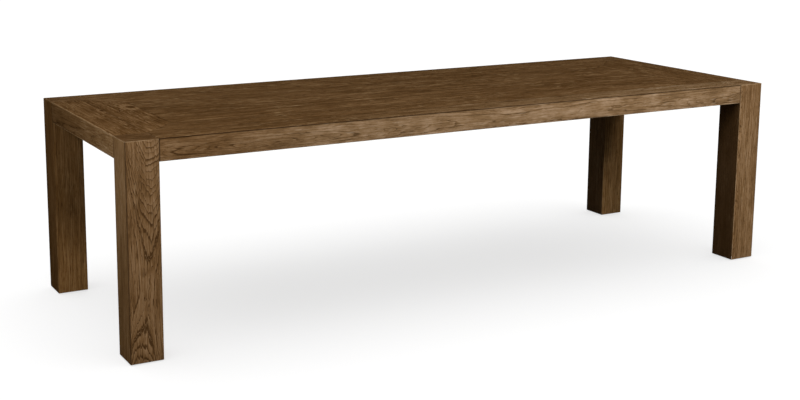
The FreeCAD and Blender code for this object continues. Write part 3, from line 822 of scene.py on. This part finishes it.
def inward_places(node, axis_is_longest):
    """For each solid of a group along a rail: its outer end, the way to the table's middle, and up."""
    places = []
    for middle, size in solids_of(node):
        lengths = (size.x, size.y)
        axis = lengths.index(max(lengths) if axis_is_longest else min(lengths))
        inward = Vector((0, 0, 0))
        inward[axis] = -math.copysign(1, middle[axis])
        places.append((middle - inward * size[axis] / 2, inward, UP))
    return places


bolt_length = max(max(size) for middle, size in solids_of("draw_bolts"))
screw_end = threaded("screw_end", BOLT_RADIUS, WOOD_TOOTH, WOOD_PITCH, 0.0, WOOD_LENGTH)
pointed(screw_end, 0.0, BOLT_POINT, BOLT_BLUNTNESS)
shank = turned("shank", [
    (0, WOOD_LENGTH - RUN_OUT), (BOLT_RADIUS - WOOD_TOOTH, WOOD_LENGTH - RUN_OUT), (BOLT_RADIUS, WOOD_LENGTH),
    (BOLT_RADIUS, SHANK_END), (BOLT_RADIUS - BOLT_TOOTH, SHANK_END + RUN_OUT), (0, SHANK_END + RUN_OUT)])
nut_end = threaded("nut_end", BOLT_RADIUS, BOLT_TOOTH, BOLT_PITCH, SHANK_END, bolt_length)
bolt = joined("hanger_bolt", screw_end, shank, nut_end)

thickness = min(min(size) for middle, size in solids_of("draw_bolt_washers"))
washer = joined("washer", turned("washer", [
    (WASHER_BORE, 0), (WASHER_RADIUS - WASHER_EASE, 0), (WASHER_RADIUS, WASHER_EASE),
    (WASHER_RADIUS, thickness - WASHER_EASE), (WASHER_RADIUS - WASHER_EASE, thickness),
    (WASHER_BORE + WASHER_EASE, thickness), (WASHER_BORE, thickness - WASHER_EASE), (WASHER_BORE, 0)]))

height = min(min(size) for middle, size in solids_of("draw_bolt_nuts"))
mouth = WASHER_BORE + NUT_MOUTH
nut = hexagon("nut", NUT_FLATS, 0.0, height)
cut(nut, turned("tap", [
    (0, -TOOL_MARGIN), (mouth, -TOOL_MARGIN), (mouth, 0), (WASHER_BORE, NUT_MOUTH),
    (WASHER_BORE, height - NUT_MOUTH), (mouth, height), (mouth, height + TOOL_MARGIN),
    (0, height + TOOL_MARGIN)]))
nut = joined("nut", nut)

for master, group, is_long in ((bolt, "draw_bolts", True), (washer, "draw_bolt_washers", False),
                               (nut, "draw_bolt_nuts", False)):
    zinc_plated(set_out(master, group, inward_places(group, is_long)))
    bpy.data.objects.remove(master)

# ---- Aprons ------------------------------------------------------------------------------------
# An oak board faces each rail from the top's arris down. It is mitred to the edge board above and
# eased at both ends, which leaves a fine groove beside the legs.

APRON_DEPTH = 0.078
# Each apron's ends are darkened in the groove beside the legs, for dust and painted shade.
APRON_FINISH = {"Ring Contrast": 0.5, "Clouds": 1.0, "Grain": 0.45, "Tone": 0.95, "End Wear And Painted Light": -0.8}
# The front apron pales towards the right, partly stain and partly painted light, and darkens along its arris
# for dust and painted shade. The left apron pales towards its near end, partly stain and partly painted
# light, and its arris is paler for wear with a painted highlight.
APRON_FIGURES = {
    "front": {
        "Seed": 5.0, "Pith Across": -0.010, "Pith Drift": 0.0, "Pith Depth": 0.045, "Taper": 0.0,
        "Bow": 0.03, "Turn": 0.3, "Ring Width": 0.0042, "Waviness": 0.012, "Tone": 0.81,
        "Pale From": -1.15, "Pale To": -0.60, "Stain And Painted Light Paling": 0.56, "Plus Side Wear And Painted Light": -0.8},
    "left": {
        "Clouds": 0.6, "Tone": 0.87, "Warmth": 0.15, "Pale From": 0.15, "Pale To": -0.40, "Stain And Painted Light Paling": 0.42,
        "Plus Side Wear And Painted Light": 1.5},
}
for side, along in SIDES.items():
    figure = {**plain_sawn(APRON_DEPTH), **APRON_FINISH, **APRON_FIGURES.get(side, {})}
    brushed_board(f"{side}_apron", along, FACINGS[side], figure)

# ---- Edge boards -------------------------------------------------------------------------------
# On top of each rail lies an oak board as wide as the legs, glued down between two leg caps. It
# is mitred to the apron along the arris, which the brush has rubbed paler, with a painted highlight.

# The top's deeper tone is partly stain and partly painted shade, for the lesser light that falls on it.
TOP_STAIN_AND_SHADE = 0.80
TOP_FINISH = {
    "Ring Contrast": 0.45, "Flecks And Glints": 0.8, "Grain": 1.2, "Warmth": 0.12,
    "Plus Side Wear And Painted Light": -0.3, "Minus Side Wear And Painted Light": -0.3, "End Wear And Painted Light": -0.3,
}


def top_board(node, along, width, values):
    """A board of the top: its tone is a little deeper, partly stain and partly painted shade, and each joint
    holds a little dust and wax.
    """
    figure = plain_sawn(width)
    figure["Tone"] = TOP_STAIN_AND_SHADE * timber.uniform(0.97, 1.03)
    brushed_board(node, along, UP, {**figure, **TOP_FINISH, **values})


# The outer arris of each edge board is paler, for wear with a painted highlight, but the front board's is
# darker, for dust and painted shade, and that board pales towards the right, partly stain and partly painted
# light.
ARRIS_WEAR_AND_HIGHLIGHT = 0.5
EDGE_FIGURES = {
    "front": {"Flecks And Glints": 1.0, "Tone": 0.74, "Pale From": -1.30, "Pale To": 1.00, "Stain And Painted Light Paling": 0.62,
              "Minus Side Wear And Painted Light": -1.0},
    "left": {"Waviness": 0.016, "Knot Along": 0.105, "Knot Across": -0.054, "Knot Size": 0.010,
             "Flecks And Glints": 0.5, "Clouds": 0.7, "Grain": 0.8, "Tone": 0.735, "Plus Side Wear And Painted Light": 1.6},
}
for side, along in SIDES.items():
    is_plus_side = UP.cross(along).dot(FACINGS[side]) > 0
    outer = "Plus Side Wear And Painted Light" if is_plus_side else "Minus Side Wear And Painted Light"
    top_board(f"{side}_edge_board", along, LEG_WIDTH, {outer: ARRIS_WEAR_AND_HIGHLIGHT, **EDGE_FIGURES.get(side, {})})

# ---- Border boards -----------------------------------------------------------------------------
# A second ring of oak boards, inside the edge boards, frames the planks like a picture. They are
# glued to the panel and meet in mitred corners.

BORDER_WIDTH = 0.137
BORDER_FIGURES = {
    "left": {"Waviness": 0.024, "Ring Contrast": 0.8, "Knot Along": 0.140, "Knot Across": -0.046,
             "Knot Size": 0.018, "Flecks And Glints": 0.6, "Clouds": 0.8, "Grain": 0.8, "Tone": 0.76},
}
INNER_SIDE = {"front": 1.0, "right": 1.0, "back": -1.0, "left": -1.0}
for side, along in SIDES.items():
    figure = {"Mitre": INNER_SIDE[side], **BORDER_FIGURES.get(side, {})}
    top_board(f"{side}_border_board", along, BORDER_WIDTH, figure)

# ---- Panel -------------------------------------------------------------------------------------
# A sheet of sealed plywood, let into the rails, carries the boards of the top. Its face veneer
# runs along the table.

PLY_SEED = 31.0
PLY_PALE = (0.40, 0.29, 0.175)
PLY_DARK = (0.24, 0.155, 0.085)
PLY_SWIRLS = (1.1, 7, 7)
LINES_PER_SWIRL = 26.0
LAYERS_PER_METRE = 360.0
PLY_RELIEF = (0.2, 0.0003)
PLY_GLOSS = 0.1


def ply_material():
    """Rotary cut veneer: contour lines in slow swirls, and the layers on the sheet's edge."""
    material, tree, shader = new_material("panel_ply")
    vector = local_vector(tree, "top_panel", ALONG_X, UP)
    fibre = fibre_marks(tree, vector, PLY_SEED, pore_share=0.15)
    swirls = noise(tree, vector, PLY_SWIRLS, detail=3.0)
    contour = calc(tree, "FRACT", calc(tree, "MULTIPLY", swirls, LINES_PER_SWIRL))
    light = calc(tree, "MULTIPLY_ADD", fibre["Streaks"], 0.7, 0.3)
    light = calc(tree, "MULTIPLY_ADD", smooth_fall(tree, contour, 0.0, 0.5), -0.35, light)
    into = add_node(tree, "ShaderNodeSeparateXYZ", {0: vector}).outputs["Z"]
    layers = calc(tree, "PINGPONG", calc(tree, "MULTIPLY", into, LAYERS_PER_METRE), 1.0)
    colour = mix_colours(tree, light, PLY_DARK, PLY_PALE)
    colour = mix_colours(tree, calc(tree, "MULTIPLY", fibre["Pores"], 0.4), colour, PLY_DARK)
    rough = calc(tree, "MULTIPLY_ADD", layers, 0.06, 0.5)
    finish_surface(tree, shader, colour, rough, fibre["Streaks"], PLY_RELIEF, PLY_GLOSS)
    return material


paint(nodes["top_panel"], ply_material())

# ---- Bearers -----------------------------------------------------------------------------------
# Two battens of core timber cross under the panel between the long rails and keep it flat. Four
# zinc plated screws with cross recesses go up through each into the panel.

BEARER_SEED = 21.0
for number, bearer in enumerate(("left_bearer", "right_bearer")):
    paint_laminated(bearer, ALONG_Y, -UP, BEARER_SEED + number)

SCREW_RADIUS = 0.0025
SCREW_TOOTH = 0.0008
SCREW_PITCH = 0.0022
SCREW_POINT = 0.008
SCREW_BLUNTNESS = 0.08
SCREW_RUN_OUT = 0.0012
PLAIN_LENGTH = 0.010
HEAD_HEIGHT = 0.003
HEAD_OUTLINE = (
    (0, 0), (0.0030, 0.00012), (0.0042, 0.0005), (0.0048, 0.0011), (0.0050, 0.0018), (0.0050, 0.0028),
    (0.0048, HEAD_HEIGHT), (SCREW_RADIUS, HEAD_HEIGHT))
RECESS_WIDTH = 0.0011
RECESS_REACH = 0.0052
RECESS_DEPTH = 0.0019
RECESS_ROUNDING = 0.0003
RECESS_TAPER = 0.5


def block(width, depth, height):
    """A block round the origin, as a tool to cut with."""
    bpy.ops.object.select_all(action="DESELECT")
    bpy.ops.mesh.primitive_cube_add(size=1, scale=(width, depth, height))
    bpy.ops.object.transform_apply()
    return bpy.context.object


def upright_places(node):
    """For each upright solid of a group: its foot, up, and the way along Y."""
    return [(middle - UP * size.z / 2, UP, ALONG_Y) for middle, size in solids_of(node)]


screw_length = max(size.z for middle, size in solids_of("bearer_screws"))
head = turned("head", [
    *HEAD_OUTLINE, (SCREW_RADIUS, PLAIN_LENGTH),
    (SCREW_RADIUS - SCREW_TOOTH, PLAIN_LENGTH + SCREW_RUN_OUT), (0, PLAIN_LENGTH + SCREW_RUN_OUT)])
for width, depth in ((RECESS_WIDTH, RECESS_REACH), (RECESS_REACH, RECESS_WIDTH)):
    blade = block(width, depth, 2 * RECESS_DEPTH)
    edit_all()
    bpy.ops.mesh.bevel(offset=RECESS_ROUNDING, segments=2, affect="EDGES")
    bpy.ops.object.mode_set(mode="OBJECT")
    for vertex in blade.data.vertices:
        draw_in(vertex, 1 - RECESS_TAPER * max(0.0, vertex.co.z) / RECESS_DEPTH)
    cut(head, blade)
point = threaded("point", SCREW_RADIUS, SCREW_TOOTH, SCREW_PITCH, PLAIN_LENGTH, screw_length)
pointed(point, screw_length, SCREW_POINT, SCREW_BLUNTNESS)
screw = joined("wood_screw", head, point)
zinc_plated(set_out(screw, "bearer_screws", upright_places("bearer_screws")))
bpy.data.objects.remove(screw)

# ---- Field planks ------------------------------------------------------------------------------
# Four long oak planks fill the frame of border boards. They run side by side along the table,
# glued to the panel and to one another.

PLANK_WIDTH = 0.120
for number in range(1, 5):
    top_board(f"field_plank_{number}", ALONG_X, PLANK_WIDTH, {})

# ---- Levelling feet ----------------------------------------------------------------------------
# A ribbed pad of black nylon stands on the floor. A zinc plated stem turns in it, with a six-sided
# collar for a spanner, and its thread runs in a slotted steel insert in the leg's core.

INSERT_FLANGE = 0.011
INSERT_BARREL = 0.005
INSERT_TOOTH = 0.0004
INSERT_PITCH = 0.0025
INSERT_BORE = 0.00405
INSERT_MOUTH = 0.0008
FLANGE_THICKNESS = 0.0015
FLANGE_EASE = 0.0004
FLANGE_SHOULDER = 0.0003
SLOT_WIDTH = 0.0022
SLOT_LENGTH = 0.030
SLOT_HEIGHT = 0.0012

insert_height = max(size.z for middle, size in solids_of("foot_inserts"))
insert = threaded("barrel", INSERT_BARREL, INSERT_TOOTH, INSERT_PITCH, FLANGE_THICKNESS / 2, insert_height)
cut(insert, turned("flange", [
    (0, 0), (INSERT_FLANGE - FLANGE_EASE, 0), (INSERT_FLANGE, FLANGE_EASE),
    (INSERT_FLANGE, FLANGE_THICKNESS - FLANGE_SHOULDER), (INSERT_FLANGE - FLANGE_SHOULDER, FLANGE_THICKNESS),
    (0, FLANGE_THICKNESS)]), operation="UNION")
mouth = INSERT_BORE + INSERT_MOUTH
cut(insert, turned("bore", [
    (0, -TOOL_MARGIN), (mouth, -TOOL_MARGIN), (mouth, 0), (INSERT_BORE, INSERT_MOUTH),
    (INSERT_BORE, insert_height + TOOL_MARGIN), (0, insert_height + TOOL_MARGIN)]))
cut(insert, block(SLOT_LENGTH, SLOT_WIDTH, SLOT_HEIGHT))
cut(insert, block(SLOT_WIDTH, SLOT_LENGTH, SLOT_HEIGHT))
insert = joined("insert", insert)
zinc_plated(set_out(insert, "foot_inserts", upright_places("foot_inserts")))
bpy.data.objects.remove(insert)

PIVOT_HEIGHT = 0.005
PIVOT_EASE = 0.0005
COLLAR_HEIGHT = 0.004
COLLAR_FLATS = 0.013
OVERLAP = 0.0005
RUNNING_GAP = 0.00005

low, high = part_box("front_left_foot_stem")
collar_top = PIVOT_HEIGHT + COLLAR_HEIGHT
pivot_radius = BOLT_RADIUS - 2 * RUNNING_GAP
pivot = turned("pivot", [
    (0, RUNNING_GAP), (pivot_radius - PIVOT_EASE, RUNNING_GAP), (pivot_radius, PIVOT_EASE + RUNNING_GAP),
    (pivot_radius, PIVOT_HEIGHT + OVERLAP), (0, PIVOT_HEIGHT + OVERLAP)])
collar = hexagon("collar", COLLAR_FLATS, PIVOT_HEIGHT + RUNNING_GAP, collar_top)
thread = threaded("thread", BOLT_RADIUS, BOLT_TOOTH, BOLT_PITCH, collar_top - OVERLAP, high.z - low.z)
stem = joined("stem", pivot, collar, thread)

PAD_HEIGHT = 0.008
SOCKET_FLOOR = 0.003
SOCKET_EASE = 0.0006
PAD_OUTLINE = (
    (0, 0), (0.0174, 0), (0.0182, 0.0002), (0.0188, 0.0007), (0.0190, 0.0015), (0.0190, 0.0042),
    (0.0187, 0.0051), (0.0180, 0.0057), (0.0168, 0.0061), (0.0104, 0.0069), (0.0094, 0.0073),
    (0.0088, 0.0078), (0.0082, PAD_HEIGHT), (0.0048, PAD_HEIGHT))
RIBS = 36
RIB_DEPTH = 0.0004
RIB_START = 0.0170
RIB_FADE = 0.0012
RIB_FOOT = 0.0010
NYLON = (0.018, 0.018, 0.019)
NYLON_SCUFFED = (0.050, 0.050, 0.052)
NYLON_GRAIN = (1800, 1800, 1800)
NYLON_SCUFFS = (90, 90, 400)
NYLON_RELIEF = (0.2, 0.0001)
NYLON_GLOSS = 0.2

pad = turned("pad", [
    *PAD_OUTLINE, (INSERT_BORE, PAD_HEIGHT - SOCKET_EASE), (INSERT_BORE, SOCKET_FLOOR),
    (0, SOCKET_FLOOR)], sides=4 * RIBS)
for vertex in pad.data.vertices:
    reach = math.hypot(vertex.co.x, vertex.co.y)
    if reach > RIB_START and vertex.co.z > RIB_FOOT:
        share = min(1.0, (reach - RIB_START) / RIB_FADE)
        wave = 0.5 - 0.5 * math.cos(math.atan2(vertex.co.y, vertex.co.x) * RIBS)
        draw_in(vertex, 1 - share * wave * RIB_DEPTH / reach)
pad = joined("pad", pad)


def nylon_material():
    """Moulded nylon with a fine grain, scuffed where it drags."""
    material, tree, shader = new_material("black_nylon")
    vector = add_node(tree, "ShaderNodeTexCoord").outputs["Object"]
    grain = noise(tree, vector, NYLON_GRAIN, detail=1.0)
    scuffs = smooth_step(tree, noise(tree, vector, NYLON_SCUFFS, detail=3.0), 0.45, 0.75)
    colour = mix_colours(tree, scuffs, NYLON, NYLON_SCUFFED)
    rough = calc(tree, "MULTIPLY_ADD", scuffs, 0.2, 0.45)
    finish_surface(tree, shader, colour, rough, grain, NYLON_RELIEF, NYLON_GLOSS)
    return material


nylon = nylon_material()


def stand(master, node):
    """Stand a piece where its CAD node stands, on the node's own body."""
    low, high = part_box(node)
    foot = Vector(((low.x + high.x) / 2, (low.y + high.y) / 2, low.z))
    return set_out(master, node, [(foot, UP, ALONG_X)], body=node)


for corner in CORNERS:
    zinc_plated(stand(stem, f"{corner}_foot_stem"))
    piece = stand(pad, f"{corner}_foot_pad")
    paint(piece, nylon)
bpy.data.objects.remove(stem)
bpy.data.objects.remove(pad)

# ---- Floor and backdrop ------------------------------------------------------------------------
# The table stands in a studio on a plain white floor, before a plain white backdrop. The floor
# shows as white with a soft shadow, and gives little light back, so the underside stays dark.

FLOOR_SIZE = 60.0
FLOOR_GLOW = 0.68
FLOOR_SHADED = (0.445, 0.445, 0.445, 1)
FLOOR_BOUNCE = (0.12, 0.12, 0.12, 1)
AMBIENT = 0.12

bpy.ops.object.select_all(action="DESELECT")
bpy.ops.mesh.primitive_grid_add(x_subdivisions=2, y_subdivisions=2, size=FLOOR_SIZE)
floor = bpy.context.object
floor.name = "floor"


def seen(tree):
    """1 for what is seen straight, in a gloss or through glass."""
    path = add_node(tree, "ShaderNodeLightPath").outputs
    straight = calc(tree, "ADD", path["Is Camera Ray"], path["Is Glossy Ray"])
    return calc(tree, "ADD", straight, path["Is Transmission Ray"], clamp=True)


def floor_material():
    """White with a shadow where it is seen, dim for the light it gives back, and clear from below."""
    material, tree, shader = new_material("floor")
    tree.nodes.remove(shader)
    white = add_node(tree, "ShaderNodeBsdfDiffuse", {"Color": FLOOR_SHADED}).outputs[0]
    glow = add_node(tree, "ShaderNodeEmission", {"Strength": FLOOR_GLOW}).outputs[0]
    shown = add_node(tree, "ShaderNodeAddShader", {0: white, 1: glow}).outputs[0]
    dim = add_node(tree, "ShaderNodeBsdfDiffuse", {"Color": FLOOR_BOUNCE}).outputs[0]
    above = add_node(tree, "ShaderNodeMixShader", {0: seen(tree), 1: dim, 2: shown}).outputs[0]
    clear = add_node(tree, "ShaderNodeBsdfTransparent").outputs[0]
    below = add_node(tree, "ShaderNodeNewGeometry").outputs["Backfacing"]
    surface = add_node(tree, "ShaderNodeMixShader", {0: below, 1: above, 2: clear}).outputs[0]
    tree.links.new(surface, tree.nodes["Material Output"].inputs["Surface"])
    return material


paint(floor, floor_material())

world = bpy.data.worlds.new("studio")
bpy.context.scene.world = world
world.use_nodes = True
tree = world.node_tree
background = tree.nodes["Background"]
brightness = calc(tree, "MULTIPLY_ADD", seen(tree), 1 - AMBIENT, AMBIENT)
tree.links.new(brightness, background.inputs["Strength"])
background.inputs["Color"].default_value = (1, 1, 1, 1)

# ---- Lamps -------------------------------------------------------------------------------------
# A broad key from the front, a low fill from behind and two soft boxes, in front and on the left,
# light the table and not the floor. A wide lamp overhead lights only the floor, for the shadow.

table_lamps = bpy.data.collections.new("lit_by_table_lamps")
table_lamps.objects.link(floor)
table_lamps.collection_objects[0].light_linking.link_state = "EXCLUDE"
only_floor = bpy.data.collections.new("lit_by_floor_lamp")
only_floor.objects.link(floor)


def add_lamp(name, kind, power, place, towards, receivers):
    """A lamp at a place, turned so that its light comes from the given side."""
    lamp = bpy.data.lights.new(name, kind)
    lamp.energy = power
    holder = bpy.data.objects.new(name, lamp)
    bpy.context.scene.collection.objects.link(holder)
    holder.location = place
    holder.rotation_euler = towards.to_track_quat("Z", "Y").to_euler()
    holder.light_linking.receiver_collection = receivers
    return lamp


def distant_lamp(name, strength, azimuth, elevation, spread, receivers):
    """A far lamp. Azimuth 0 shines from the front and 90 from the right."""
    turn = math.radians(azimuth)
    rise = math.radians(elevation)
    towards = Vector((math.sin(turn) * math.cos(rise), -math.cos(turn) * math.cos(rise), math.sin(rise)))
    lamp = add_lamp(name, "SUN", strength, (0, 0, 0), towards, receivers)
    lamp.angle = math.radians(spread)


def soft_box(name, power, size, place, target):
    """A square soft box at a place, turned to a target."""
    lamp = add_lamp(name, "AREA", power, place, Vector(place) - Vector(target), table_lamps)
    lamp.size = size


distant_lamp("key", strength=1.8, azimuth=4, elevation=38, spread=20, receivers=table_lamps)
distant_lamp("back_fill", strength=1.7, azimuth=140, elevation=8, spread=40, receivers=table_lamps)
distant_lamp("overhead", strength=2.4, azimuth=0, elevation=88, spread=100, receivers=only_floor)
soft_box("front_window", power=93, size=0.6, place=(1.15, -3.4, 2.2), target=(0.30, -0.5, 0.7))
soft_box("left_window", power=26, size=0.5, place=(-2.8, -1.1, 1.6), target=(-1.4, -0.2, 0.6))

# ---- Camera ------------------------------------------------------------------------------------
# The camera stands at eye height off the table's front left corner and looks a little down. Its
# lens is shifted to frame the table.

CAMERA_LENS = 58.27
CAMERA_SHIFT = (0.0532, -0.100)
CAMERA_PLACE = (-2.676, -4.454, 1.571)
CAMERA_TURN = (79.81, -0.19, -28.27)

camera_data = bpy.data.cameras.new("camera")
camera_data.lens = CAMERA_LENS
camera_data.shift_x, camera_data.shift_y = CAMERA_SHIFT
camera = bpy.data.objects.new("camera", camera_data)
camera.location = CAMERA_PLACE
camera.rotation_euler = [math.radians(angle) for angle in CAMERA_TURN]
bpy.context.scene.collection.objects.link(camera)
bpy.context.scene.camera = camera
bpy.context.scene.view_settings.view_transform = "Standard"
